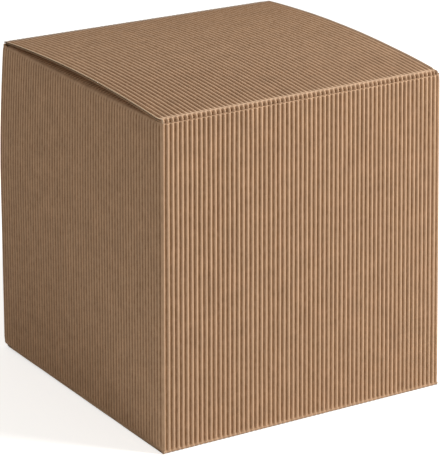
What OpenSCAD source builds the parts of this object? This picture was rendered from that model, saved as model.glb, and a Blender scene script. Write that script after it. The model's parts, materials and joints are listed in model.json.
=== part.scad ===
// Folding gift box of open-flute corrugated board, closed. The board is a flat liner on the
// inside with its flutes left bare on the outside. One blank makes the whole box: four walls
// joined by a glued tab, dust flaps and a tuck-in bottom, and a lid that hinges on the front
// wall and tucks in behind the back wall.
// The frame: the origin is under the middle of the box, +Z is up and the front wall faces -Y.

/* [Box] */
// Outside width, across the front wall
box_w = 200; // [140:1:320]
// Outside depth, from the front wall to the back wall
box_d = 200; // [140:1:320]
// Height of the front wall, up to the lid's fold
box_h = 205; // [90:1:320]

/* [Board] */
// Distance from one flute to the next, before it is evened out along a wall
flute_pitch = 3.23; // [2.4:0.01:6]
// Height of the flutes above the liner
flute_h = 1.2; // [0.8:0.1:1.8]
// Flat width along the crest of a flute
crest_w = 0.9; // [0.5:0.05:1.1]
// Flat width along the bottom of a valley
valley_w = 0.5; // [0.2:0.05:0.8]
// Thickness of the liner with the paper of the flutes on it
liner_t = 0.4; // [0.3:0.05:0.8]

/* [Folds] */
// Depth to which a fold crushes the flutes at its outer edge
fold_crush = 0.5; // [0.2:0.05:0.7]
// Length over which the flutes come back to full height beside a fold
fold_run = 1.8; // [1:0.1:3]
// Distance of the relief crease below the lid's fold
crease_drop = 4.3; // [3.5:0.1:8]
// Width of the relief crease
crease_w = 1.4; // [0.8:0.1:2]
// Depth of the relief crease in the flutes
crease_depth = 0.7; // [0.3:0.05:0.8]
// Gap between layers that lie on each other
layer_gap = 0.3; // [0.2:0.05:0.6]

/* [Lid and bottom] */
// Rise of the middle of the lid above its two folds
lid_rise = 4.5; // [2:0.1:9]
// Distance of the cut side edges inside the outer face of the side walls
edge_inset = 1.2; // [0.8:0.1:2]
// Length of a tuck flap below its fold
tuck_len = 30; // [15:1:36]
// Distance of a tuck flap's ends inside those of its panel
tuck_inset = 4; // [2:0.5:8]
// Radius of a tuck flap's two free corners
tuck_corner_r = 12; // [4:1:14]
// Clearance of a tuck flap inside the back wall
tuck_clear = 0.5; // [0.4:0.05:0.9]
// Distance of the back wall's cut edge below the fold beside it
back_drop = 0.6; // [0.3:0.05:1]

/* [Dust flaps] */
// Length of a dust flap from its fold to its free edge
dust_len = 68; // [30:1:68]
// Distance of a dust flap's ends from the outside of the front and back walls
dust_inset = 8; // [7:0.5:12]
// Further taper of each end of a dust flap towards its free edge
dust_taper = 9; // [0:0.5:20]
// Radius of a dust flap's two free corners
dust_corner_r = 10; // [4:1:14]
// Height of the relief cut in a side wall beside a dust flap
relief_h = 1.2; // [0.6:0.1:2]

/* [Glued seam] */
// Width of the glue tab inside the right wall
tab_w = 18; // [10:1:30]
// Thickness of the pressed glue tab
tab_t = 1; // [0.6:0.1:1.4]
// Slant of the tab's two ends
tab_slant = 10; // [2:1:20]
// Width of the open seam at the back right corner
seam_w = 0.5; // [0.3:0.05:0.8]

/* [Hidden] */
kraft = "#B08D68";
kraft_lid = "#B9977A";
over = 1; // how far a cutter reaches past what it cuts
corner_steps = 4;
board_t = liner_t + flute_h;
flutes_w = round(box_w / flute_pitch);
flutes_d = round(box_d / flute_pitch);
pitch_w = box_w / flutes_w;
pitch_d = box_d / flutes_d;
panel_w = box_w - 2 * edge_inset;
dust_z = -(board_t + layer_gap);
// The panels run from the front wall to a tuck fold just inside the back wall
tuck_y = box_d / 2 - board_t - tuck_clear;
span = tuck_y + box_d / 2;
half_span = span / 2;
// Slope of the lid at its two folds, and the arch that joins them
lid_slope = 2 * atan(lid_rise / half_span);
arch_r = half_span / sin(lid_slope);
arch_spare = 1;
arch_angle = 2 * lid_slope + arch_spare;
arch_fn = 300;
// A tuck flap leans in far enough to swing past the back wall as its panel turns, and a
// little more
lean_spare = 0.4;
tuck_lean = asin(tuck_len / (2 * span)) + lean_spare;
// The lid keeps this far off the front wall at the hinge line, and opens by this angle inwards
hinge_gap = 0.1;
hinge_relief = 2;
// Overlap of the two sides of a fold where they are one solid
fold_lap = 0.05;
// Length of a fold's mitre, well past the thickness of the board
mitre_len = 3 * board_t;

// Outer line of a fluted wall from one corner crest to the next, crests on y = 0
function flute_line(count, pitch) = [
    for (i = [0 : count - 1]) let (x = (i - count / 2) * pitch) each [
        [x + crest_w / 2, 0],
        [x + (pitch - valley_w) / 2, -flute_h],
        [x + (pitch + valley_w) / 2, -flute_h],
        [x + pitch - crest_w / 2, 0]
    ]
];

// Points of a rounded corner about a centre
function corner_arc(centre, r, from, to) = [
    for (i = [0 : corner_steps])
        let (a = from + (to - from) * i / corner_steps)
        centre + r * [cos(a), sin(a)]
];

function ray(a, length) = length * [cos(a), sin(a)];

function turned(points, a) = [
    for (p = points) [p[0] * cos(a) - p[1] * sin(a), p[0] * sin(a) + p[1] * cos(a)]
];

function moved(points, by) = [for (p = points) p + by];

// Section across the flutes, crests on y = 0 and the liner below them
module board_section(count, pitch, width) {
    end_x = count * pitch / 2;
    intersection() {
        polygon(concat(
            [[-end_x, -board_t], [-end_x, 0]],
            flute_line(count, pitch),
            [[end_x, 0], [end_x, -board_t]]
        ));
        translate([-width / 2, -board_t - over])
            square([width, board_t + 2 * over]);
    }
}

// A flat sheet that runs along +Y, with its flutes up and their crests on z = 0
module sheet(count, pitch, width, length) {
    translate([0, length, 0])
        rotate([90, 0, 0])
            linear_extrude(length)
                board_section(count, pitch, width);
}

// A shape drawn in side view, in Y and Z, and drawn out across X
module side_view(width) {
    rotate([90, 0, 90])
        linear_extrude(width, center = true)
            children();
}

// Places its children at the top end, and mirrored at the bottom end
module both_ends() {
    translate([0, 0, box_h])
        children();
    mirror([0, 0, 1])
        children();
}

module both_sides() {
    children();
    mirror([1, 0, 0])
        children();
}

// Plan of the four fluted walls
module wall_plan() {
    wall_front = moved(flute_line(flutes_w, pitch_w), [0, box_d / 2]);
    wall_side = moved(flute_line(flutes_d, pitch_d), [0, box_w / 2]);
    difference() {
        polygon(concat(
            wall_front,
            turned(wall_side, -90),
            turned(wall_front, -180),
            turned(wall_side, -270)
        ));
        square([box_w - 2 * board_t, box_d - 2 * board_t], center = true);
    }
}

// What is cut from the top of the walls: the side walls down to their dust folds, the front
// wall to the mitre of its fold, and the back wall to its edge
module end_cuts() {
    inner = board_t + over;
    reach = box_d / 2 - board_t;
    both_sides() {
        // Mitre of the dust fold, with its outer edge crushed
        translate([-box_w / 2, 0, dust_z])
            rotate([90, 0, 0])
                linear_extrude(2 * reach, center = true)
                    polygon([
                        [-over, -fold_run + fold_crush - over],
                        [0, -fold_run + fold_crush],
                        [fold_crush, -fold_crush],
                        [inner, -inner],
                        [inner, -dust_z + over],
                        [-over, -dust_z + over]
                    ]);
        // The side wall stops short of the dust fold beside each corner
        for (s = [-1, 1])
            translate([
                -box_w / 2 - over,
                s > 0 ? box_d / 2 - dust_inset : -reach,
                dust_z - relief_h
            ])
                cube([inner + over, dust_inset - board_t, relief_h - dust_z + over]);
        // The corners themselves end level with the side walls
        translate([-box_w / 2 - over, -box_d / 2 - over, dust_z])
            cube([edge_inset + over, box_d + 2 * over, -dust_z + over]);
    }
    // Mitre of the front fold, with its outer edge crushed
    translate([0, -box_d / 2, 0])
        side_view(box_w + 2 * over)
            polygon([
                [-over, -fold_run],
                [0, -fold_run],
                [fold_crush, -fold_crush],
                [inner, -inner],
                [inner, over],
                [-over, over]
            ]);
    translate([-box_w / 2 - over, box_d / 2 - inner, -back_drop])
        cube([box_w + 2 * over, inner + over, back_drop + over]);
}

// Crease across the flutes of the front wall, below the lid's fold
module relief_crease() {
    translate([0, -box_d / 2, box_h - crease_drop])
        side_view(box_w + 2 * over)
            polygon([[0, crease_w / 2], [crease_depth, 0], [0, -crease_w / 2], [-over, 0]]);
}

// The glue tab folds in from the back wall and lies on the inside of the right wall
module glue_tab() {
    tab_h = box_h + 2 * dust_z - 2 * board_t - 2 * layer_gap;
    translate([box_w / 2 - board_t, box_d / 2 - board_t, box_h / 2])
        rotate([90, 0, -90])
            linear_extrude(tab_t)
                polygon([
                    [0, -tab_h / 2],
                    [tab_w, -tab_h / 2 + tab_slant],
                    [tab_w, tab_h / 2 - tab_slant],
                    [0, tab_h / 2]
                ]);
}

// The right wall's cut edge stands off the back wall's corner
module seam() {
    translate([box_w / 2 - board_t, box_d / 2 - board_t - seam_w, -over])
        cube([board_t + over, seam_w, box_h + 2 * over]);
}

// Crushed edge and mitre of a fold in side view. The fold's outer corner is the origin, the
// sheet leaves it at the angle a and the other side at the angle b
function fold_edge(a, b, lap = 0) = let (
    mid = (a + b) / 2,
    past = ray(mid + sign(b - a) * 90, lap)
) [
    ray(a, fold_run),
    ray(mid, fold_crush * sqrt(2)) + past,
    ray(mid, mitre_len) + past
];

// A flat sheet beside its fold, over the length given
function fold_side(a, b, length, lap = 0) = concat(
    fold_edge(a, b, lap),
    [
        ray(a, length) + ray(a + sign(b - a) * 90, mitre_len),
        ray(a, length) - ray(a + sign(b - a) * 90, over)
    ]
);

// Dust flap of the left wall on the plane of its end, flutes up
module dust_flap() {
    fold_half = box_d / 2 - dust_inset;
    free_half = fold_half - dust_taper;
    r = dust_corner_r;
    translate([-box_w / 2, 0, dust_z])
        intersection() {
            rotate([0, 0, -90])
                sheet(flutes_d, pitch_d, 2 * fold_half, dust_len);
            // Outline in plan
            translate([0, 0, -board_t - over])
                linear_extrude(board_t + 2 * over)
                    polygon(concat(
                        [[0, fold_half], [0, -fold_half]],
                        corner_arc([dust_len - r, -free_half + r], r, -90, 0),
                        corner_arc([dust_len - r, free_half - r], r, 0, 90)
                    ));
            // The fold's mitre
            rotate([90, 0, 0])
                linear_extrude(box_d, center = true)
                    polygon(fold_side(0, -90, dust_len + over));
        }
}

// Outline of a tuck flap that runs along +Y from its fold
module tuck_outline() {
    end_half = panel_w / 2 - tuck_inset;
    r = tuck_corner_r;
    polygon(concat(
        [[end_half, 0], [-end_half, 0]],
        corner_arc([-end_half + r, tuck_len - r], r, 180, 90),
        corner_arc([end_half - r, tuck_len - r], r, 90, 0)
    ));
}

// The tuck flap of a panel. The fold's outer corner is the origin, and the panel comes to it at
// the angle given, seen from the fold
module tuck_flap(panel_at) {
    tuck_at = 270 - tuck_lean;
    rotate([tuck_at, 0, 0])
        intersection() {
            sheet(flutes_w, pitch_w, panel_w, tuck_len);
            linear_extrude(2 * board_t + 2 * over, center = true)
                tuck_outline();
            rotate([-tuck_at, 0, 0])
                side_view(box_w)
                    polygon(fold_side(tuck_at, panel_at, tuck_len + over, fold_lap));
        }
}

// Bottom panel and its tuck flap on the plane of their end, flutes up
module bottom_closure() {
    translate([0, -box_d / 2, 0])
        intersection() {
            sheet(flutes_w, pitch_w, panel_w, span);
            side_view(box_w)
                polygon(fold_side(0, -90, span + over, fold_lap));
            translate([0, span, 0])
                side_view(box_w)
                    polygon(fold_side(180, 270 - tuck_lean, span + over));
        }
    translate([0, tuck_y, 0])
        tuck_flap(180);
}

// The lid's panel, arched from the hinge line to its tuck fold. It opens on the outer edge of
// the front fold, and its own edge there stands off the front wall
module lid_panel() {
    edge = [fold_crush + hinge_gap, -fold_crush];
    translate([0, half_span, -arch_r * cos(lid_slope)])
        rotate([90, 0, 90])
            intersection() {
                rotate_extrude(angle = arch_angle, start = 90 - arch_angle / 2, $fn = arch_fn)
                    translate([arch_r, 0])
                        rotate([0, 0, -90])
                            board_section(flutes_w, pitch_w, panel_w);
                translate([-half_span, arch_r * cos(lid_slope), 0]) {
                    linear_extrude(box_w, center = true)
                        intersection() {
                            polygon([
                                [fold_run, fold_run * tan(lid_slope)],
                                edge,
                                edge + ray(-45 + hinge_relief, mitre_len),
                                [span, -mitre_len],
                                [span, span]
                            ]);
                            translate([span, 0])
                                polygon(concat(
                                    fold_edge(180 - lid_slope, 270 - tuck_lean),
                                    [[-span, -mitre_len], [-span, span]]
                                ));
                        }
                }
            }
}

module carton() {
    color(kraft) {
        difference() {
            linear_extrude(box_h)
                wall_plan();
            both_ends()
                end_cuts();
            relief_crease();
            seam();
        }
        glue_tab();
        both_ends()
            both_sides()
                dust_flap();
        mirror([0, 0, 1])
            bottom_closure();
    }
}

module lid() {
    color(kraft_lid)
        translate([0, -box_d / 2, box_h]) {
            lid_panel();
            translate([0, span, 0])
                tuck_flap(180 - lid_slope);
        }
}

carton();
lid();
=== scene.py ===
# Folding gift box of open-flute corrugated board, closed, with its lid's left edge standing
# open. Every panel is single-face board: a flat liner inside and bare paper flutes outside.
# Lengths are in millimetres and are turned to metres where a mesh, lamp or camera is made.
import json
import math

import bpy
import numpy as np
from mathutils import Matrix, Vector


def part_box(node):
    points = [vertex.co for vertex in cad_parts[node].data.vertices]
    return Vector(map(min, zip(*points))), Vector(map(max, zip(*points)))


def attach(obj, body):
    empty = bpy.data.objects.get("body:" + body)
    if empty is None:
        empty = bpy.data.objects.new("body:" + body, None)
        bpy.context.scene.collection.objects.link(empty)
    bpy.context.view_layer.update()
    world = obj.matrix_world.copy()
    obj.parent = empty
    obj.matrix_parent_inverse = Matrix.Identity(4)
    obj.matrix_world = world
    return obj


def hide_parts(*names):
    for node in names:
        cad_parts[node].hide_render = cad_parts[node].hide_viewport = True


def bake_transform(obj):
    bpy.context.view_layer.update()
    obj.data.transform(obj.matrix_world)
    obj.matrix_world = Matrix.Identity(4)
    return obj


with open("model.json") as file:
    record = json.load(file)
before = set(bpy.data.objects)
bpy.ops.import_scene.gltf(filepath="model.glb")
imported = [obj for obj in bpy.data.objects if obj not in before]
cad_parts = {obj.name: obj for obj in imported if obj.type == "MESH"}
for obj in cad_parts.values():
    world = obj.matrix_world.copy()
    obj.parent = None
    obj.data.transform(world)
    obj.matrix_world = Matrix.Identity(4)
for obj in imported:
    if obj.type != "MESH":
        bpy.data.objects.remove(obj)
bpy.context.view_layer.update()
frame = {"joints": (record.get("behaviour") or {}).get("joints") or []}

MM = 0.001

# The box, from the frame
CARTON_LOW, CARTON_HIGH = (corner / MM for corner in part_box("carton"))
HINGE = Vector(frame["joints"][0]["pos_m"]) / MM
FOLD_CRUSH = HINGE.y - CARTON_LOW.y
BOX_H = HINGE.z + FOLD_CRUSH
HALF = CARTON_HIGH.x
SIDE = 2 * HALF

# The board
FLUTES = 63  # on each wall, with a valley on each corner
PITCH = SIDE / FLUTES
VALLEY_AT = 0.5  # in pitches from the middle of the front wall, where a crest is
FLUTE_H = 1.2
PAPER = 0.2
LINER = 0.2
BOARD = FLUTE_H + PAPER + LINER
BASE_IN = FLUTE_H + PAPER  # from the crests in to the liner's outer face, where the board bends
STEPS = 8  # facets of one flute
POCKET = 7.0  # how deep an open flute end is hollow
SAME_EDGE = 0.05  # a cut edge this near to a facet's edge lies on it
ROUNDING = 1e-6
FRAY_REACH = 0.35  # cut edges show paler fibres over about this far
INNER_FRAY = 0.4  # and the papers below the crests show this share of them
SHARP_ANGLE = math.radians(62)

# The flutes' waver and unevenness, from noise. Pressed flutes have wide crests and high valleys
CREST_SHAPE, PRESSED_SHAPE = 0.85, 0.25  # powers that the wave is raised to
PRESSED_VALLEY = 0.75  # share of the height that a fully pressed valley comes up to
WAVER = 0.13
WAVER_ACROSS, WAVER_ALONG = 7.0, 30.0  # the noise changes over this far
WAVER_SEED = 4.0
UNEVEN_HEIGHT = 0.05
SWING = {1: 0.25, 2: 0.75, 3: -1.0, 4: 1.0}  # map range settings: noise to -1 to 1

# Folds. On a fold the flutes keep a share of their height, and their crests are pressed wide
BEND_R = 0.6  # radius of a fold at the liner's outer face
BEND_LEN = BEND_R * math.pi / 2
STRAIGHT = HALF - BASE_IN - BEND_R  # half of a wall between its bends
FOLD_TOP = BOX_H - BASE_IN - BEND_R  # where the front wall begins to bend into the lid
FOLD_BULGE, BULGE_REACH = 0.5, 0.42  # the front fold's crests bulge out at its corner
FLAT_FROM, FLAT_RISE = 0.55, 0.7  # and the lid is pressed flat just behind it
FLAT_TO, FLAT_SOFT = 3.6, 3.8
FLAT_PRESS = 0.88
LOW_FOLD_FULL, LOW_FOLD_REACH = 0.2, 2.0  # the bottom dust flaps' folds, pressed almost flat
DUST_FULL, DUST_REACH = 0.35, 1.4  # the top dust flaps' folds
TUCK_FULL, TUCK_REACH = 0.35, 1.4  # the tuck flaps' folds
FOOT_FULL, FOOT_REACH = 0.95, 0.7  # the fold at the front wall's foot
CREASE_Z = BOX_H - 3.0  # the thin crease across the front wall below the lid's fold
CREASE_FULL, CREASE_REACH = 0.5, 0.36
PIT_Z, PIT_REACH, PIT_DEPTH = BOX_H - 2.4, 0.38, 0.6  # the board dips between fold and crease
CORNER_FULL, CORNER_FADE = 0.55, 3.0  # the flutes beside the upright corners
CORNER_PRESS, RIGHT_PRESS = 0.75, 1.5  # how far a corner's press reaches, and the right one's
EVEN_TONE, FOLD_RUB_AND_HIGHLIGHT_TONE, PAINTED_SHADE_TONE = 0.6, 1.25, 0.05  # the paper's tone where it is pressed: even; rubbed and painted highlight at the front fold; painted shade on the lid's back and tuck folds
RUB_AND_HIGHLIGHT_REACH = 10.0  # the front fold's rubbed paper and painted highlight reach this far on to the lid

# Lid and bottom
LID_HALF = 31.2 * PITCH  # the cut runs just beyond a crest, which leaves a flute open
LID_SHIFT = 1.0  # the fold is skewed, so the lid lies this far to the left of the front wall
LID_SKEW = 1.5  # its back's right edge has turned this far to the right
SKEW_MIDDLE = 0.4  # and its back's middle has turned this share of it
RIGHT_IN, RIGHT_IN_REACH = 2.0, 8.0  # the fold's right end is drawn in, over its last 8 mm
RIGHT_IN_FADE = 5.0  # and from 1 mm past the fold less and less, over this far
BOTTOM_HALF = HALF - 1.2
TUCK_Y = HALF - 2.1  # outer face of the tuck folds, just inside the back wall
LID_RISE = 4.3
LID_BACK_UP = 1.2  # the lid's back edge stands this far above its fold
LID_WEAR_AND_SHADE = 0.95  # how worn the lid is at its back, and how much painted shade its pressed paper takes there
WEAR_AND_SHADE_FROM, WEAR_AND_SHADE_SLANT = 60.0, 0.25  # the wear and the painted shade start before the middle, earlier at the right
WORN_FLAT, WORN_PRESS = 0.5, 0.9  # height that full wear takes, and how hard it presses
TUCK_HALF = HALF - 5.2
TUCK_LEN = 30.0
TUCK_CORNER = 12.0
TUCK_LEAN = math.radians(4.8)
TUCK_TURN = math.pi / 2 + TUCK_LEAN

# Dust flaps, on the left and right walls
DUST_DROP = 1.2  # their crests lie this far below the lid's fold
DUST_FOOT = 0.55  # and this far above the floor at the bottom, where they rise by DUST_RISE
DUST_RISE = 1.6
DUST_SPRING = 1.8  # the top ones spring up this much in their middles
SPRING_REACH = 5.0  # how far from the fold a flap takes to rise
DUST_HALF = HALF - 8.0
DUST_LEN = 68.0
DUST_TAPER = 9.0
DUST_CORNER = 10.0
SHORTEST_FLUTE = 4.0  # at a flap's round corners
NOTCH_DROP = DUST_DROP + 1.0  # relief cuts beside the flaps at the front corners
NOTCH_BACK = 2.6  # and at the back corners
NOTCH_FOOT = 1.5  # and at the bottom

# Where the walls' upper edges lie below the box's top, and their lower edges above its foot
FRONT_IN = 2.4
SIDE_IN = 4.4
BACK_IN = 2.0
CORNER_IN = 0.9
RIGHT_CORNER_IN = 1.9
BACK_CORNER_IN = 2.0
CORNER_FOOT = 0.3
CORNER_REACH = 1.2
EDGE_ROWS = 7.0  # the rows gather in this much of the walls at each end
SEAM = 0.5

# The glue tab
TAB_W = 18.0
TAB_FULL = 0.3
TAB_FOOT, TAB_TOP = 4.5, 195.0

# How the walls stand in the photo: the front right corner leans in towards the top, and the
# back left corner is pushed in below the lid
LEAN_FRONT_RIGHT = 4.0
LEAN_FRONT_LEFT = 0.8
PINCH = 4.2
PINCH_FROM = 118.0  # height at which the pinch begins
PINCH_CURVE, PINCH_SPREAD = 1.7, 1.5  # powers: how it grows upwards, and fades to the front
DRIFT, DRIFT_SKEW = 0.95, 1.2  # the flutes near the front wall's middle lie further right
FOOT_LEFT_UP = 1.6  # the left wall's foot rises this much towards the back
FOOT_LEFT_SPREAD, FOOT_LEFT_TOP = 4, 30.0  # power it fades by to the right, and its upper end
FOOT_RIGHT, FOOT_BACK = 1.4, 2.5  # the right and back walls stand out this far at their feet

# The camera, in the photograph's frame
PHOTO_W, PHOTO_H = 440, 455
CAMERA_AZ, CAMERA_EL = -32.05, 19.22
CAMERA_DIST = 1594.0
CAMERA_FOCUS = 2549.6  # in pixels
CAMERA_AIM = (2.2, 0.0, 93.13)
SENSOR = 36.0

# The light and the floor, in metres
KEY_PLACE, KEY_AIM = (0.70, -0.835, 1.03), (0, 0, 0.1)
KEY_SIZE, KEY_WATTS = 0.36, 17.0
AMBIENT = 0.42
FLOOR_HALF, FLOOR_GLOW = 4.0, 0.65


def linear(hex_colour):
    """sRGB hex to the linear colour that a shader takes."""
    parts = [int(hex_colour[i:i + 2], 16) / 255 for i in (1, 3, 5)]
    flat = [c / 12.92 if c <= 0.04045 else ((c + 0.055) / 1.055) ** 2.4 for c in parts]
    return (*flat, 1.0)


def add(tree, kind, links=None, **settings):
    """Adds a node with its settings, and links or sets its inputs."""
    node = tree.nodes.new(kind)
    for name, value in settings.items():
        setattr(node, name, value)
    for socket, source in (links or {}).items():
        if isinstance(source, bpy.types.NodeSocket):
            tree.links.new(source, node.inputs[socket])
        else:
            node.inputs[socket].default_value = source
    return node


# Geometry Nodes tree that raises the flutes on a flat guide

def flute_tree():
    """Raises rounded flutes on a guide, along its lift attribute, with a little waver."""
    tree = bpy.data.node_groups.new("raise_flutes", "GeometryNodeTree")
    tree.interface.new_socket("Geometry", in_out="OUTPUT", socket_type="NodeSocketGeometry")
    for name, kind in (
        ("Guide", "NodeSocketGeometry"),
        ("Pitch", "NodeSocketFloat"),
        ("Valley at", "NodeSocketFloat"),
        ("Flute height", "NodeSocketFloat"),
        ("Crest shape", "NodeSocketFloat"),
        ("Pressed shape", "NodeSocketFloat"),
        ("Pressed valley", "NodeSocketFloat"),
        ("Waver", "NodeSocketFloat"),
        ("Uneven height", "NodeSocketFloat"),
        ("Seed", "NodeSocketFloat"),
        ("Paper", "NodeSocketMaterial"),
    ):
        tree.interface.new_socket(name, in_out="INPUT", socket_type=kind)
    given = add(tree, "NodeGroupInput").outputs
    across, along, pressed, even = (
        add(tree, "GeometryNodeInputNamedAttribute", {"Name": name}).outputs["Attribute"]
        for name in ("across", "along", "pressed", "pressed_tone"))
    lift = add(tree, "GeometryNodeInputNamedAttribute", {"Name": "lift"},
               data_type="FLOAT_VECTOR").outputs["Attribute"]

    # Each flute wavers by itself along its length: the noise changes within a few flutes across
    spread_across = add(tree, "ShaderNodeMath", {0: across, 1: 1 / WAVER_ACROSS},
                        operation="MULTIPLY")
    spread_along = add(tree, "ShaderNodeMath", {0: along, 1: 1 / WAVER_ALONG},
                       operation="MULTIPLY")
    place = add(tree, "ShaderNodeCombineXYZ",
                {0: spread_across.outputs[0], 1: spread_along.outputs[0], 2: given["Seed"]})
    noise = add(tree, "ShaderNodeTexNoise",
                {"Vector": place.outputs[0], "Scale": 1.0, "Detail": 2.0})
    swing = add(tree, "ShaderNodeMapRange", {0: noise.outputs["Fac"], **SWING})
    shift = add(tree, "ShaderNodeMath", {0: swing.outputs[0], 1: given["Waver"]},
                operation="MULTIPLY")
    moved = add(tree, "ShaderNodeMath", {0: across, 1: shift.outputs[0]}, operation="ADD")
    turn = add(tree, "ShaderNodeMath", {0: moved.outputs[0], 1: given["Pitch"]},
               operation="DIVIDE")
    turn = add(tree, "ShaderNodeMath", {0: turn.outputs[0], 1: given["Valley at"]},
               operation="SUBTRACT")
    angle = add(tree, "ShaderNodeMath", {0: turn.outputs[0], 1: math.tau}, operation="MULTIPLY")
    wave = add(tree, "ShaderNodeMath", {0: angle.outputs[0]}, operation="COSINE")
    share = add(tree, "ShaderNodeMapRange", {0: wave.outputs[0], 1: 1.0, 2: -1.0, 3: 0.0, 4: 1.0})
    power = add(tree, "ShaderNodeMapRange",
                {0: pressed, 1: 0.0, 2: 1.0, 3: given["Crest shape"], 4: given["Pressed shape"]})
    free = add(tree, "ShaderNodeMath", {0: share.outputs[0], 1: power.outputs[0]},
               operation="POWER")
    # Where the board is pressed, its valleys are pushed up to part of the height as well
    lowest = add(tree, "ShaderNodeMath", {0: pressed, 1: given["Pressed valley"]},
                 operation="MULTIPLY")
    crest = add(tree, "ShaderNodeMapRange",
                {0: free.outputs[0], 1: 0.0, 2: 1.0, 3: lowest.outputs[0], 4: 1.0})

    tint = add(tree, "FunctionNodeSeparateColor", {0: noise.outputs["Color"]})
    uneven = add(tree, "ShaderNodeMapRange", {0: tint.outputs[1], **SWING})
    extra = add(tree, "ShaderNodeMath", {0: uneven.outputs[0], 1: given["Uneven height"], 2: 1.0},
                operation="MULTIPLY_ADD")
    tall = add(tree, "ShaderNodeMath", {0: crest.outputs[0], 1: extra.outputs[0]},
               operation="MULTIPLY")
    height = add(tree, "ShaderNodeMath", {0: tall.outputs[0], 1: given["Flute height"]},
                 operation="MULTIPLY")
    offset = add(tree, "ShaderNodeVectorMath", {0: lift, "Scale": height.outputs[0]},
                 operation="SCALE")
    raised = add(tree, "GeometryNodeSetPosition",
                 {"Geometry": given["Guide"], "Offset": offset.outputs[0]})
    # For the paper's colour, which paints shade into the valleys: 0 in a valley, 1 on a crest, and
    # one tone where the board is pressed
    tone = add(tree, "ShaderNodeMapRange",
               {0: pressed, 1: 0.0, 2: 1.0, 3: free.outputs[0], 4: even})
    marked = add(tree, "GeometryNodeStoreNamedAttribute",
                 {"Geometry": raised.outputs[0], "Name": "tone", "Value": tone.outputs[0]},
                 data_type="FLOAT", domain="POINT")
    smooth = add(tree, "GeometryNodeSetShadeSmooth", {"Geometry": marked.outputs[0]})
    plain = add(tree, "GeometryNodeRealizeInstances", {"Geometry": smooth.outputs[0]})
    faced = add(tree, "GeometryNodeSetMaterial",
                {"Geometry": plain.outputs[0], "Material": given["Paper"]})
    add(tree, "NodeGroupOutput", {0: faced.outputs[0]})
    return tree


def raise_flutes(guide, tree, **sizes):
    """Runs the tree on a guide and turns the result into a plain mesh object of the same name."""
    modifier = guide.modifiers.new("flutes", "NODES")
    modifier.node_group = tree
    for item in tree.interface.items_tree:
        if item.in_out == "INPUT" and item.name in sizes:
            modifier[item.identifier] = sizes[item.name]
    graph = bpy.context.evaluated_depsgraph_get()
    mesh = bpy.data.meshes.new_from_object(guide.evaluated_get(graph))
    guide.modifiers.clear()
    guide.data = mesh
    mesh.name = guide.name
    mesh.set_sharp_from_angle(angle=SHARP_ANGLE)
    return guide


# Flat sheets of board and how they fold. A point of the blank is given by u, across the
# flutes, and v, along them. The front wall has u from -HALF to HALF, and v is its height.

def pressed_at(v, *folds):
    """How far the flutes are crushed and pressed at v. Each fold is its place, the share of the
    flutes' height that is left there, and its reach. Gives that share, and 0 to 1 for pressed."""
    full, pressed = np.ones_like(v), np.zeros_like(v)
    for at, left, reach in folds:
        near = np.exp(-((v - at) / reach) ** 2)
        full = np.minimum(full, 1 - (1 - left) * near)
        pressed = np.maximum(pressed, near)
    return full, pressed


LID_SPAN = TUCK_Y - BASE_IN - BEND_R + STRAIGHT  # from the front fold's end to the tuck fold
LID_END = FOLD_TOP + BEND_LEN + LID_SPAN
TUCK_FOLD = (LID_END + BEND_LEN / 2, TUCK_FULL, TUCK_REACH)
CREASE = (CREASE_Z, CREASE_FULL, CREASE_REACH)
FOOT_FOLD = (BOX_H - FOLD_TOP - BEND_LEN / 2, FOOT_FULL, FOOT_REACH)
DUST_TOP = FOLD_TOP - DUST_DROP  # where the left and right walls begin to bend into a dust flap
DUST_BOTTOM = BOX_H - FOLD_TOP + DUST_FOOT  # and where they end the bend from a bottom one
DUST_FOLDS = (
    (DUST_TOP + BEND_LEN / 2, DUST_FULL, DUST_REACH),
    (DUST_BOTTOM - BEND_LEN / 2, LOW_FOLD_FULL, LOW_FOLD_REACH),
)


def settle(points):
    """Leans and pinches the square box as it stands in the photo."""
    x, y, z = points[..., 0], points[..., 1], points[..., 2]
    up = np.clip(z / BOX_H, 0, 1.05)
    front = np.clip((HALF - y) / SIDE, 0, 1)
    right = np.clip((x + HALF) / SIDE, 0, 1)
    pinch = np.clip((z - PINCH_FROM) / (BOX_H - PINCH_FROM), 0, 1) ** PINCH_CURVE * PINCH
    inward_left = LEAN_FRONT_LEFT * up * front + pinch * (1 - front) ** PINCH_SPREAD
    foot = np.clip(1 - up, 0, 1)
    low = np.clip(1 - z / FOOT_LEFT_TOP, 0, 1)
    moved = points.copy()
    moved[..., 0] += (1 - right) * inward_left - right * front * up * LEAN_FRONT_RIGHT
    moved[..., 0] += FOOT_RIGHT * foot * right
    moved[..., 0] += DRIFT * np.sin(np.pi * right ** DRIFT_SKEW) * front
    moved[..., 1] += FOOT_BACK * foot * (1 - front)
    moved[..., 2] += FOOT_LEFT_UP * (1 - right) ** FOOT_LEFT_SPREAD * (1 - front) * low
    return moved


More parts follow.
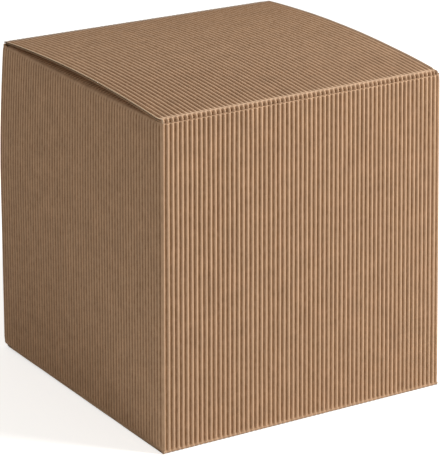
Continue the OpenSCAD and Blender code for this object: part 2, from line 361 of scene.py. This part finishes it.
def on_walls(u, v):
    """Places the ring of walls: round corners, and the flutes crushed at crease and folds."""
    face = np.round(u / SIDE)
    s = u - face * SIDE
    bend = np.clip((np.abs(s) - STRAIGHT) / (HALF - STRAIGHT), 0, 1) * math.pi / 4
    x = np.where(np.abs(s) < STRAIGHT, s, np.sign(s) * (STRAIGHT + BEND_R * np.sin(bend)))
    y = -(STRAIGHT + BEND_R * np.cos(bend))
    nx, ny = np.sign(s) * np.sin(bend), -np.cos(bend)
    c, d = np.cos(face * math.pi / 2), np.sin(face * math.pi / 2)
    points = np.stack([x * c - y * d, x * d + y * c, v], -1)
    outward = np.stack([nx * c - ny * d, nx * d + ny * c, np.zeros_like(v)], -1)
    front_full, front_pressed = pressed_at(v, CREASE, FOOT_FOLD)
    front_full += bulge(v)
    side_full, side_pressed = pressed_at(v, *DUST_FOLDS)
    is_side = np.abs(face) == 1
    full = np.where(face == 0, front_full, np.where(is_side, side_full, 1.0))
    pressed = np.where(face == 0, front_pressed, np.where(is_side, side_pressed, 0.0))
    to_corner = HALF - np.abs(s)
    full = full * (1 - (1 - CORNER_FULL) * np.exp(-(to_corner / CORNER_FADE) ** 2))
    beside_right = np.abs(u - HALF) < HALF / 2
    reach = np.where(beside_right, RIGHT_PRESS, CORNER_PRESS) * np.where(is_side, 2, 1)
    pressed = np.maximum(pressed, np.exp(-(to_corner / reach) ** 2))
    dip = np.where(face == 0, pit(v), 0.0)
    return points - outward * dip[..., None], outward, full + dip / FLUTE_H, pressed, EVEN_TONE


def pit(v):
    """How far the board dips between the front fold and its crease."""
    return PIT_DEPTH * np.exp(-((v - PIT_Z) / PIT_REACH) ** 2)


def bulge(v):
    """The extra share of height that the crests have at the front fold."""
    return FOLD_BULGE * np.exp(-((v - FOLD_TOP - BEND_LEN / 2) / BULGE_REACH) ** 2)


def over_fold(v, start):
    """Side view of a square fold that starts at v = start: how far the sheet has gone over and
    up, and its outward direction as (over, up)."""
    a = np.clip((v - start) / BEND_R, 0, math.pi / 2)
    past = np.maximum(v - start - BEND_LEN, 0)
    before = np.minimum(v - start, 0)
    over = BEND_R * (1 - np.cos(a)) + past
    up = before + BEND_R * np.sin(a)
    return over, up, -np.cos(a), np.sin(a)


def skew(u):
    """How far the lid's back has turned to the right, less towards its left edge."""
    return LID_SKEW * (SKEW_MIDDLE + (1 - SKEW_MIDDLE) * u / HALF)


def on_front_strip(u, v):
    """Front wall's top, the fold, and the bowed lid as far as its tuck fold."""
    over, up, n_over, n_up = over_fold(v, FOLD_TOP)
    past = v - FOLD_TOP
    y = -HALF + BASE_IN + over
    part = np.clip((over - BEND_R) / LID_SPAN, 0, 1.02)
    z = FOLD_TOP + up + LID_RISE * 4 * part * (1 - part) + LID_BACK_UP * part
    slope = np.where(over > BEND_R, (LID_RISE * 4 * (1 - 2 * part) + LID_BACK_UP) / LID_SPAN, 0)
    shift = LID_SHIFT * np.clip(past / FLAT_TO, 0, 1)
    at_right = np.clip((u - HALF + RIGHT_IN_REACH) / RIGHT_IN_REACH, 0, 1)
    drawn_in = RIGHT_IN * at_right * np.clip(1.2 - past / RIGHT_IN_FADE, 0, 1)
    points = np.stack([u - shift + skew(u) * part - drawn_in, y, z], -1)
    outward = np.stack([np.zeros_like(u), n_over - slope * n_up, n_up], -1)
    outward /= np.linalg.norm(outward, axis=-1, keepdims=True)
    full, pressed = pressed_at(v, CREASE, TUCK_FOLD)
    flat_starts = np.clip((past - FLAT_FROM) / FLAT_RISE, 0, 1)
    flat = flat_starts * np.clip((FLAT_TO - past) / FLAT_SOFT + 0.5, 0, 1)
    # Towards the back the lid is worn flatter, and its pressed paper is painted dark there, as
    # painted shade
    toward_back = (y + WEAR_AND_SHADE_SLANT * u + WEAR_AND_SHADE_FROM) / ((1 + WEAR_AND_SHADE_SLANT) * HALF + WEAR_AND_SHADE_FROM)
    wear_and_shade = LID_WEAR_AND_SHADE * np.clip(toward_back, 0, 1)
    full = (full + bulge(v) + pit(v) / FLUTE_H) * (1 - WORN_FLAT * wear_and_shade)
    pressed = np.maximum(np.maximum(pressed, FLAT_PRESS * flat), WORN_PRESS * wear_and_shade)
    # Pressed paper is painted light near the front fold, as rubbed paper and a painted highlight,
    # and dark beyond it, as painted shade
    tone = np.where(past < RUB_AND_HIGHLIGHT_REACH, FOLD_RUB_AND_HIGHLIGHT_TONE, PAINTED_SHADE_TONE)
    return points - outward * pit(v)[..., None], outward, full, pressed, tone


def on_tuck(u, v):
    """The lid's tuck fold and its tuck flap, which goes on where the lid ends."""
    slope = math.atan(LID_RISE * 4 / (LID_END - FOLD_TOP))
    turn = TUCK_TURN - slope
    a = np.clip((v - LID_END) / BEND_R, 0, turn) + slope
    past = np.maximum(v - LID_END - BEND_R * turn, 0)
    back = BEND_R * (np.sin(a) - math.sin(slope)) - past * math.sin(TUCK_LEAN)
    up = BEND_R * (np.cos(a) - math.cos(slope)) - past * math.cos(TUCK_LEAN)
    y = TUCK_Y - BASE_IN - BEND_R + back
    z = BOX_H - BASE_IN + up + LID_BACK_UP
    points = np.stack([u - LID_SHIFT + skew(u), y, z], -1)
    outward = np.stack([np.zeros_like(u), np.sin(a), np.cos(a)], -1)
    # The tuck fold's pressed paper is painted dark, as painted shade
    return points, outward, *pressed_at(v, TUCK_FOLD), PAINTED_SHADE_TONE


def on_dust(side, end):
    """A dust flap. side is -1 on the left wall and 1 on the right, end is 1 at the top and -1
    at the bottom."""
    def place(u, v):
        over, up, n_over, n_up = over_fold(v, DUST_TOP)
        s = u - side * SIDE
        away = 1 - np.exp(-np.maximum(over - BEND_R, 0) / SPRING_REACH)
        spring = DUST_SPRING * away * (1 - (s / DUST_HALF) ** 2)
        z = DUST_TOP + up + spring if end > 0 else DUST_BOTTOM - up + DUST_RISE * away
        points = np.stack([side * (HALF - BASE_IN - over), side * s, z], -1)
        outward = np.stack([-side * n_over, np.zeros_like(u), end * n_up], -1)
        return points, outward, *pressed_at(v, DUST_FOLDS[0]), EVEN_TONE
    return place


def on_bottom(u, v):
    """The flat bottom panel, which folds in from the front wall."""
    over, up, n_over, n_up = over_fold(v, FOLD_TOP)
    points = np.stack([u, -HALF + BASE_IN + over, BOX_H - FOLD_TOP - up], -1)
    outward = np.stack([np.zeros_like(u), n_over, -n_up], -1)
    fold = (FOLD_TOP + BEND_LEN / 2, FOOT_FULL, FOOT_REACH)
    return points, outward, *pressed_at(v, fold, TUCK_FOLD), EVEN_TONE


def on_bottom_tuck(u, v):
    """The lid's tuck flap turned over, without the lid's shift, turn and raised back."""
    points, outward, full, pressed, tone = on_tuck(u, v)
    points[..., 0] += LID_SHIFT - skew(u)
    points[..., 2] = BOX_H + LID_BACK_UP - points[..., 2]
    outward[..., 2] *= -1
    return points, outward, full, pressed, tone


def on_glue_tab(u, v):
    """The pressed tab inside the right wall, going forward from the back right corner."""
    x = HALF - BOARD - PAPER - FLUTE_H * TAB_FULL
    points = np.stack([np.full_like(u, x), HALF - BOARD - SEAM + u, v], -1)
    outward = np.stack([np.ones_like(u), np.zeros_like(u), np.zeros_like(u)], -1)
    return points, outward, np.full_like(u, TAB_FULL), np.ones_like(u), EVEN_TONE


# Rows along the flutes

def lerp(a, b, t):
    return a + (b - a) * t


def wall_rows(u):
    """Heights of the ring's rows at each u, from its lower edge to its upper edge."""
    face = np.round(u / SIDE)
    s = np.abs(u - face * SIDE)
    is_side = np.abs(face) == 1
    dust = s < DUST_HALF
    notch = np.where(face * (u - face * SIDE) < 0, NOTCH_DROP, NOTCH_BACK)
    end_in = np.where(face == 0, FRONT_IN, BACK_IN)
    head_in = np.where(is_side, np.where(dust, SIDE_IN, notch), end_in)
    dust_foot = DUST_BOTTOM + DUST_TOP - BOX_H + SIDE_IN
    foot_in = np.where(is_side, np.where(dust, dust_foot, NOTCH_FOOT), end_in)
    at_corner = (s > HALF - CORNER_REACH) & (np.abs(u) < 2 * SIDE)
    foot = np.where(at_corner & (np.abs(u) < SIDE), CORNER_FOOT, foot_in)
    front_corner_in = np.where(u > 0, RIGHT_CORNER_IN, CORNER_IN)
    corner_in = np.where(np.abs(u) > SIDE, BACK_CORNER_IN, front_corner_in)
    head = BOX_H - np.where(at_corner, corner_in, head_in)
    low, high = EDGE_ROWS, BOX_H - EDGE_ROWS
    middle = np.linspace(low, high, 19)
    # Near the top the rows gather at the crease and the pit
    near_end = (0.5, 0.695, 0.77, 0.82, 0.85, 0.885, 0.93, 1.0)
    rows = [lerp(low, foot, t) for t in (1.0, 0.75, 0.45)]
    rows += [np.full_like(u, z) for z in middle]
    rows += [lerp(high, head, t) for t in near_end]
    return np.stack(rows)


def even_rows(*stops):
    """Rows that are the same at each u."""
    values = np.array(stops, float)
    return lambda u: np.repeat(values[:, None], len(u), 1)


def bend_rows(start, shares=(0.0, 0.25, 0.5, 0.75, 1.0)):
    """Places of the rows round a fold that starts at v = start."""
    return [start + BEND_LEN * t for t in shares]


def flap_rows(bend, ahead, length, outline, middle=0.0):
    """Rows of a flap whose free end is cut to an outline. bend holds its rows up to the fold's
    end, ahead the next rows' distances from there, and outline is the arguments of round_end."""
    def rows(u):
        ends = round_end(u - middle, *outline)
        found = [np.full_like(u, v) for v in bend]
        found += [bend[-1] + d / length * ends for d in ahead + [length]]
        return np.stack(found)
    return rows


def round_end(u, half, length, corner, taper=0.0):
    """Length of each flute on a flap with tapered sides and round free corners."""
    free = half - taper
    s = np.abs(u)
    inside = np.clip((s - (free - corner)) / corner, 0, 1)
    ends = length - corner * (1 - np.sqrt(1 - inside ** 2))
    if taper:
        ends = np.where(s > free, np.minimum(ends, (length - corner) * (half - s) / taper), ends)
    return np.maximum(ends, SHORTEST_FLUTE)


def columns(low, high):
    """Points across the flutes, from one cut edge to the other, and which are valleys."""
    first = math.ceil((low / PITCH - VALLEY_AT) * STEPS - ROUNDING)
    last = math.floor((high / PITCH - VALLEY_AT) * STEPS + ROUNDING)
    steps = np.arange(first, last + 1)
    u = (steps / STEPS + VALLEY_AT) * PITCH
    valley = (steps % STEPS) == 0
    if u[0] - low > SAME_EDGE:
        u, valley = np.append(low, u), np.append(False, valley)
    if high - u[-1] > SAME_EDGE:
        u, valley = np.append(u, high), np.append(valley, False)
    return u, valley


def board(name, low, high, rows, place, hollow=(False, False)):
    """A closed sheet of board between the cut edges u = low and u = high, as a flat guide with
    the attributes that its flutes are raised by. hollow says whether the flutes are open at
    its first and last row. A cut edge that runs beside a crest leaves its flute open too."""
    u, valley = columns(low, high)
    v = rows(u)
    uu = np.repeat(u[None, :], len(v), 0)
    points, outward, full, pressed, tone = place(uu, v)
    tone = tone + np.zeros_like(uu)
    points = settle(points)
    lift = outward * full[..., None]
    to_cut = np.minimum(uu - u[0], u[-1] - uu)
    for end, is_cut in ((0, hollow[0]), (-1, hollow[1])):
        if is_cut:
            to_cut = np.minimum(to_cut, np.abs(v - v[end]))
    cut = np.exp(-(to_cut / FRAY_REACH) ** 2)
    n, m = len(u), len(v)
    glue = np.flatnonzero(valley)
    keep = np.unique(np.concatenate([[0], glue, [n - 1]]))

    verts, lifts, coords = [], [], []
    count = 0

    def layer(cols, depth, raised, row_list=range(m)):
        """Adds points at a height above the liner's outer face. Returns their numbers."""
        nonlocal count
        ids = np.arange(len(cols) * len(row_list)).reshape(len(row_list), len(cols)) + count
        count += ids.size
        liner = np.full(len(cols), float(depth == -LINER))
        for r in row_list:
            verts.append(points[r, cols] + outward[r, cols] * depth)
            lifts.append(lift[r, cols] if raised else np.zeros((len(cols), 3)))
            fray = cut[r, cols] * (1 if depth == PAPER else INNER_FRAY)
            traits = [uu[r, cols], v[r, cols], pressed[r, cols], tone[r, cols], fray, liner]
            coords.append(np.stack(traits, -1))
        return ids

    outer = layer(np.arange(n), PAPER, True)
    inner = layer(keep, -LINER, False)
    left_open = not valley[0]
    right_open = not valley[-1]
    left = layer(np.array([0]), 0.0, True) if left_open else None
    right = layer(np.array([n - 1]), 0.0, True) if right_open else None
    left_in = layer(np.array([glue[0], 0]), 0.0, False) if left_open else None
    right_in = layer(np.array([glue[-1], n - 1]), 0.0, False) if right_open else None

    # The outline of one row, once round: crests left to right, right edge, liner back, left edge
    ring = [outer]
    if right_open:
        ring += [right, right_in]
    ring.append(inner[:, ::-1])
    if left_open:
        ring += [left_in[:, ::-1], left]
    ring = np.concatenate(ring, 1)
    faces = []
    for r in range(m - 1):
        a, b = ring[r], ring[r + 1]
        faces += np.stack([a, np.roll(a, -1), np.roll(b, -1), b], -1).tolist()

    def solid_cap(r):
        """Closes the sheet at row r over its flutes."""
        o, b = outer[r], {c: inner[r, k] for k, c in enumerate(keep)}
        found = [[*o[c0:c1 + 1], b[c1], b[c0]] for c0, c1 in zip(glue[:-1], glue[1:])]
        if right_open:
            c = glue[-1]
            found.append([*o[c:], right[r, 0], *right_in[r], b[n - 1], b[c]])
        if left_open:
            c = glue[0]
            found.append([*o[:c + 1], b[c], b[0], *left_in[r, ::-1], left[r, 0]])
        return found

    def hollow_cap(r, into):
        """Closes the sheet at row r round its open flutes, which end at the row into."""
        o, b = outer[r], {c: inner[r, k] for k, c in enumerate(keep)}
        found = []
        pockets = {}
        for c0, c1 in zip(glue[:-1], glue[1:]):
            cols = np.arange(c0 + 1, c1)
            arch = layer(cols, 0.0, True, [r, into])
            foot = layer(np.array([c1 - 1, c0 + 1]), 0.0, False, [r, into])
            loop = np.concatenate([arch, foot], 1)
            pockets[c0] = loop
            for i in range(loop.shape[1]):
                k = (i + 1) % loop.shape[1]
                found.append([loop[0, i], loop[0, k], loop[1, k], loop[1, i]])
            found.append(loop[1].tolist())
            for i, c in enumerate(cols[:-1]):
                found.append([o[c], o[c + 1], loop[0, i + 1], loop[0, i]])
            top = len(cols)
            found.append([loop[0, top + 1], loop[0, top], b[c1], b[c0]])
        # Round each valley: its outer paper, the flute to its right, the liner, the one to its left
        for c in glue:
            before, after = pockets.get(c - STEPS), pockets.get(c)
            web = [o[c - 1], o[c]] if before is not None else [o[c]]
            if after is not None:
                web += [o[c + 1], after[0, 0], after[0, -1]]
            elif right_open:
                web += [right_in[r, 0]]
            web += [b[c]]
            if before is not None:
                web += [before[0, STEPS - 1], before[0, STEPS - 2]]
            elif left_open:
                web += [left_in[r, 0]]
            found.append(web)
        if right_open:
            c = glue[-1]
            found.append([*o[c:], right[r, 0], right_in[r, 0]])
            found.append([*right_in[r], b[n - 1], b[c]])
        if left_open:
            c = glue[0]
            found.append([*o[:c + 1], left_in[r, 0], left[r, 0]])
            found.append([*left_in[r, ::-1], b[c], b[0]])
        return found

    def cap(r, heights, is_hollow):
        """Closes the sheet at row r. heights are the rows' places, from that row onwards."""
        if not is_hollow:
            return solid_cap(r)
        deep = np.abs(heights - heights[0]) > POCKET
        steps = int(np.argmax(deep)) if deep.any() else m - 1
        return hollow_cap(r, r + steps if r == 0 else r - steps)

    heights = v[:, n // 2]
    faces += cap(0, heights, hollow[0])
    faces += [f[::-1] for f in cap(m - 1, heights[::-1], hollow[1])]

    # On a mirrored sheet the faces are turned round, so that they all look outward
    side = np.cross(points[1, 1] - points[1, 0], points[2, 1] - points[1, 1]) @ outward[1, 1]
    if side < 0:
        faces = [f[::-1] for f in faces]
    return guide_object(name, np.concatenate(verts), faces, np.concatenate(lifts),
                        np.concatenate(coords))


def guide_object(name, verts, faces, lifts, coords):
    """Makes the guide's mesh with its attributes, and the object that carries it."""
    mesh = bpy.data.meshes.new(name)
    mesh.from_pydata((verts * MM).tolist(), [], [[int(i) for i in f] for f in faces])
    labels = ("across", "along", "pressed", "pressed_tone", "cut", "inside")
    for label, values in zip(labels, coords.T):
        attribute = mesh.attributes.new(label, "FLOAT", "POINT")
        attribute.data.foreach_set("value", values.astype(np.float32))
    attribute = mesh.attributes.new("lift", "FLOAT_VECTOR", "POINT")
    attribute.data.foreach_set("vector", lifts.astype(np.float32).ravel())
    mesh.update()
    guide = bpy.data.objects.new(name, mesh)
    bpy.context.scene.collection.objects.link(guide)
    return guide


def from_noise(source, low, high):
    """Map range settings that turn a noise's usual range to one from low to high."""
    return {0: source, 1: 0.3, 2: 0.7, 3: low, 4: high}


def kraft_paper():
    """Unbleached kraft paper, machine-made and uncoated: matt, with short fibres that give
    fine light and dark flecks, and a faint cloudiness from the pulp. The valleys are painted
    darker brown than the crests, as painted shade across the flutes."""
    material = bpy.data.materials.new("uncoated_kraft_paper")
    material.use_nodes = True
    tree = material.node_tree
    shader = tree.nodes["Principled BSDF"]
    across, along, tone, inside, cut = (
        add(tree, "ShaderNodeAttribute", attribute_name=name).outputs["Fac"]
        for name in ("across", "along", "tone", "inside", "cut"))
    place = add(tree, "ShaderNodeCombineXYZ", {0: across, 1: along}).outputs[0]

    # The coordinates are millimetres of the flat blank: pulp clouds of about 12 mm, and fibre
    # flecks about 0.9 mm long and 0.3 mm wide
    cloud = add(tree, "ShaderNodeTexNoise", {"Vector": place, "Scale": 1 / 12, "Detail": 3.0})
    squeeze = add(tree, "ShaderNodeMapping", {"Vector": place, "Scale": (1 / 0.3, 1 / 0.9, 1.0)})
    fleck = add(tree, "ShaderNodeTexNoise",
                {"Vector": squeeze.outputs[0], "Scale": 1.0, "Detail": 4.0})

    # Blotches about 4 mm long and 1.2 mm wide break up the edges of the stripes
    stretch = add(tree, "ShaderNodeMapping", {"Vector": place, "Scale": (1 / 1.2, 1 / 4, 1.0)})
    blotch = add(tree, "ShaderNodeTexNoise",
                 {"Vector": stretch.outputs[0], "Scale": 1.0, "Detail": 3.0})
    blotched = add(tree, "ShaderNodeMapRange", from_noise(blotch.outputs["Fac"], -0.13, 0.13))
    ripple = add(tree, "ShaderNodeMath", {0: tone, 1: blotched.outputs[0]}, operation="ADD")
    # The valleys are painted dark brown and the crests light: painted shade across the flutes
    valley_to_crest = add(tree, "ShaderNodeValToRGB", {"Fac": ripple.outputs[0]})
    valley, crest = valley_to_crest.color_ramp.elements
    valley.position, valley.color = 0.05, linear("#85613F")
    crest.position, crest.color = 0.8, linear("#C9A688")

    # The front fold is painted lighter than the crests, partly rubbed paper and partly a painted
    # highlight, and cut edges are paler still
    rub_and_highlight = add(tree, "ShaderNodeMapRange", {0: tone, 1: 0.95, 2: 1.08, 3: 0.0, 4: 1.0})
    rubbed_and_highlit = add(tree, "ShaderNodeMix",
                 {0: rub_and_highlight.outputs[0], 6: valley_to_crest.outputs[0], 7: linear("#DDBB9C")},
                 data_type="RGBA")
    edged = add(tree, "ShaderNodeMix", {0: cut, 6: rubbed_and_highlit.outputs[2], 7: linear("#D6BFA3")},
                data_type="RGBA")

    # The tuck folds are painted darker and greyer as shade, for 3 mm each way and fading over the
    # next 3
    from_fold = add(tree, "ShaderNodeMath", {0: along, 1: LID_END + BEND_LEN / 2},
                    operation="SUBTRACT")
    off_fold = add(tree, "ShaderNodeMath", {0: from_fold.outputs[0]}, operation="ABSOLUTE")
    grey_mark = add(tree, "ShaderNodeMapRange",
                {0: off_fold.outputs[0], 1: 3.0, 2: 6.0, 3: 0.9, 4: 0.0})
    # The lid's last flute at its right edge is scuffed grey, more towards the back
    at_edge = add(tree, "ShaderNodeMapRange",
                  {0: across, 1: LID_HALF - 2.0, 2: LID_HALF - 0.8, 3: 0.0, 4: 1.0})
    at_back = add(tree, "ShaderNodeMapRange",
                  {0: along, 1: LID_END - 190.0, 2: LID_END - 40.0, 3: 0.5, 4: 0.9})
    on_lid = add(tree, "ShaderNodeMath", {0: along, 1: FOLD_TOP}, operation="GREATER_THAN")
    edge = add(tree, "ShaderNodeMath", {0: at_edge.outputs[0], 1: at_back.outputs[0]},
               operation="MULTIPLY")
    edge = add(tree, "ShaderNodeMath", {0: edge.outputs[0], 1: on_lid.outputs[0]},
               operation="MULTIPLY")
    grey_mark = add(tree, "ShaderNodeMath", {0: grey_mark.outputs[0], 1: edge.outputs[0]},
                operation="MAXIMUM")
    # Grey over the tuck folds is painted shade; on the lid's right edge it is a scuff
    greyed = add(tree, "ShaderNodeMix",
                  {0: grey_mark.outputs[0], 6: edged.outputs[2], 7: linear("#A39182")},
                  data_type="RGBA")
    lined = add(tree, "ShaderNodeMix", {0: inside, 6: greyed.outputs[2], 7: linear("#B18E69")},
                data_type="RGBA")

    clouded = add(tree, "ShaderNodeMapRange", from_noise(cloud.outputs["Fac"], 0.93, 1.07))
    flecked = add(tree, "ShaderNodeMapRange", from_noise(fleck.outputs["Fac"], 0.88, 1.1))
    shade = add(tree, "ShaderNodeMath", {0: clouded.outputs[0], 1: flecked.outputs[0]},
                operation="MULTIPLY")
    # The lowest edges are painted darker, as painted shade where the box meets the floor
    spot = add(tree, "ShaderNodeTexCoord").outputs["Object"]
    height = add(tree, "ShaderNodeSeparateXYZ", {0: spot}).outputs["Z"]
    foot_shade = add(tree, "ShaderNodeMapRange",
               {0: height, 1: 0.2 * MM, 2: 0.9 * MM, 3: 0.5, 4: 1.0})
    shade = add(tree, "ShaderNodeMath", {0: shade.outputs[0], 1: foot_shade.outputs[0]},
                operation="MULTIPLY")
    colour = add(tree, "ShaderNodeVectorMath",
                 {0: lined.outputs[2], "Scale": shade.outputs[0]}, operation="SCALE")
    tree.links.new(colour.outputs[0], shader.inputs["Base Color"])
    shader.inputs["Roughness"].default_value = 0.82
    shader.inputs["Specular IOR Level"].default_value = 0.3
    bump = add(tree, "ShaderNodeBump",
               {"Height": fleck.outputs["Fac"], "Strength": 0.25, "Distance": 0.03 * MM})
    tree.links.new(bump.outputs[0], shader.inputs["Normal"])
    return material


# The pieces

def make_box():
    """Makes every sheet of the blank, and gives each one but the front fold to its body."""
    paper = kraft_paper()
    tree = flute_tree()
    sizes = {
        "Pitch": PITCH,
        "Valley at": VALLEY_AT,
        "Flute height": FLUTE_H * MM,
        "Crest shape": CREST_SHAPE,
        "Pressed shape": PRESSED_SHAPE,
        "Pressed valley": PRESSED_VALLEY,
        "Waver": WAVER,
        "Uneven height": UNEVEN_HEIGHT,
        "Seed": WAVER_SEED,
        "Paper": paper,
    }
    fold_stops = [BOX_H - FRONT_IN + d for d in (0.0, 0.13, 0.26)]
    fold_stops += bend_rows(FOLD_TOP, (0.0, 0.17, 0.33, 0.5, 0.67, 0.83, 1.0))
    past_fold = (0.25, 0.5, 1.2, 2.0, 2.8, 3.5, 4.2, 4.9, 5.6, 6.3)
    fold_stops += [FOLD_TOP + BEND_LEN + d for d in past_fold]
    panel_stops = list(np.linspace(fold_stops[-1], LID_END - 5, 23))
    panel_stops += [LID_END - d for d in (3.5, 2.2, 1.0, 0.0)]

    # Each sheet is its body, and then what board takes
    seam_at = SIDE + HALF - BOARD - SEAM
    sheets = [("carton", "walls", -2 * SIDE - HALF, seam_at, wall_rows, on_walls)]
    dust_bend = [BOX_H - SIDE_IN] + bend_rows(DUST_TOP)
    dust_length = DUST_LEN - BASE_IN - BEND_R
    dust_outline = (DUST_HALF, dust_length, DUST_CORNER, DUST_TAPER)
    for side, left_or_right in ((-1, "left"), (1, "right")):
        middle = side * SIDE
        rows = flap_rows(dust_bend, [0.5, 1.2, 3.0, 14.0, 30.0, 46.0, 58.0], dust_length,
                         dust_outline, middle)
        for end, top_or_bottom in ((1, "top"), (-1, "bottom")):
            name = "dust_flap_" + left_or_right + "_" + top_or_bottom
            sheets.append(("carton", name, middle - DUST_HALF, middle + DUST_HALF, rows,
                           on_dust(side, end), (False, True)))
    tuck_length = TUCK_LEN - BASE_IN
    tuck_rows = flap_rows(bend_rows(LID_END), [0.6, 1.4, 4.0, 14.0, 22.0], tuck_length,
                          (TUCK_HALF, tuck_length, TUCK_CORNER))
    bottom_rows = even_rows(*fold_stops, *panel_stops[1:])
    tab_rows = even_rows(TAB_FOOT, 60.0, 145.0, TAB_TOP)
    sheets += [
        ("carton", "bottom_panel", -BOTTOM_HALF, BOTTOM_HALF, bottom_rows, on_bottom),
        ("carton", "bottom_tuck_flap", -TUCK_HALF, TUCK_HALF, tuck_rows, on_bottom_tuck,
         (False, True)),
        ("carton", "glue_tab", -TAB_W, 0.0, tab_rows, on_glue_tab),
        ("fold", "front_fold", -LID_HALF, LID_HALF, even_rows(*fold_stops), on_front_strip),
        ("lid", "lid_panel", -LID_HALF, LID_HALF, even_rows(*panel_stops), on_front_strip),
        ("lid", "lid_tuck_flap", -TUCK_HALF, TUCK_HALF, tuck_rows, on_tuck, (False, True)),
    ]

    for body, *sheet in sheets:
        piece = raise_flutes(board(*sheet), tree, **sizes)
        if body == "fold":
            end = Vector((0, CARTON_LOW.y + 1.9, BOX_H - 0.5)) * MM
            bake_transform(piece)
        else:
            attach(piece, body)
            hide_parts(body)


def area_lamp(name, place, aim, size, watts):
    """Adds a round soft lamp that points at aim."""
    data = bpy.data.lights.new(name, "AREA")
    data.shape = "DISK"
    data.size = size
    data.energy = watts
    lamp = bpy.data.objects.new(name, data)
    lamp.location = place
    lamp.rotation_euler = (Vector(aim) - Vector(place)).to_track_quat("-Z", "Y").to_euler()
    bpy.context.scene.collection.objects.link(lamp)


def studio():
    """Plain pale floor, white surroundings for the camera, a soft key from the front right."""
    world = bpy.data.worlds.new("studio")
    bpy.context.scene.world = world
    world.use_nodes = True
    tree = world.node_tree
    tree.nodes.clear()
    path = add(tree, "ShaderNodeLightPath")
    ambient = add(tree, "ShaderNodeBackground", {"Color": linear("#F6F1E8"), "Strength": AMBIENT})
    white = add(tree, "ShaderNodeBackground", {"Color": (1, 1, 1, 1), "Strength": 1.0})
    seen = add(tree, "ShaderNodeMath",
               {0: path.outputs["Is Camera Ray"], 1: path.outputs["Is Glossy Ray"]},
               operation="MAXIMUM")
    seen = add(tree, "ShaderNodeMath",
               {0: seen.outputs[0], 1: path.outputs["Is Transmission Ray"]},
               operation="MAXIMUM")
    mix = add(tree, "ShaderNodeMixShader",
              {0: seen.outputs[0], 1: ambient.outputs[0], 2: white.outputs[0]})
    add(tree, "ShaderNodeOutputWorld", {0: mix.outputs[0]})

    mesh = bpy.data.meshes.new("floor")
    corners = [(x * FLOOR_HALF, y * FLOOR_HALF, 0) for x, y in ((-1, -1), (1, -1), (1, 1), (-1, 1))]
    mesh.from_pydata(corners, [], [(0, 1, 2, 3)])
    floor = bpy.data.objects.new("floor", mesh)
    bpy.context.scene.collection.objects.link(floor)
    matt = bpy.data.materials.new("matt_white_card")
    matt.use_nodes = True
    tree = matt.node_tree
    tree.nodes.clear()
    card = add(tree, "ShaderNodeBsdfDiffuse", {"Color": linear("#F2F2F0")})
    # The floor glows for the camera only, which keeps it near white but for the soft shadow
    glow = add(tree, "ShaderNodeEmission", {"Color": (1, 1, 1, 1), "Strength": FLOOR_GLOW})
    dark = add(tree, "ShaderNodeEmission", {"Color": (0, 0, 0, 1), "Strength": 0.0})
    path = add(tree, "ShaderNodeLightPath")
    lift = add(tree, "ShaderNodeMixShader",
               {0: path.outputs["Is Camera Ray"], 1: dark.outputs[0], 2: glow.outputs[0]})
    both = add(tree, "ShaderNodeAddShader", {0: card.outputs[0], 1: lift.outputs[0]})
    add(tree, "ShaderNodeOutputMaterial", {0: both.outputs[0]})
    mesh.materials.append(matt)

    area_lamp("key", KEY_PLACE, KEY_AIM, KEY_SIZE, KEY_WATTS)


def camera():
    """The photograph's camera, which stands to the left of the box's front."""
    data = bpy.data.cameras.new("camera")
    data.sensor_width = SENSOR
    data.lens = CAMERA_FOCUS / max(PHOTO_W, PHOTO_H) * SENSOR
    view = bpy.data.objects.new("camera", data)
    az, el = math.radians(CAMERA_AZ), math.radians(CAMERA_EL)
    back = Vector((math.sin(az) * math.cos(el), -math.cos(az) * math.cos(el), math.sin(el)))
    view.location = (Vector(CAMERA_AIM) + back * CAMERA_DIST) * MM
    view.rotation_euler = (-back).to_track_quat("-Z", "Y").to_euler()
    data.clip_start, data.clip_end = 0.05, 20.0
    bpy.context.scene.collection.objects.link(view)
    bpy.context.scene.camera = view


camera()
make_box()
studio()
bpy.context.scene.view_settings.view_transform = "Standard"
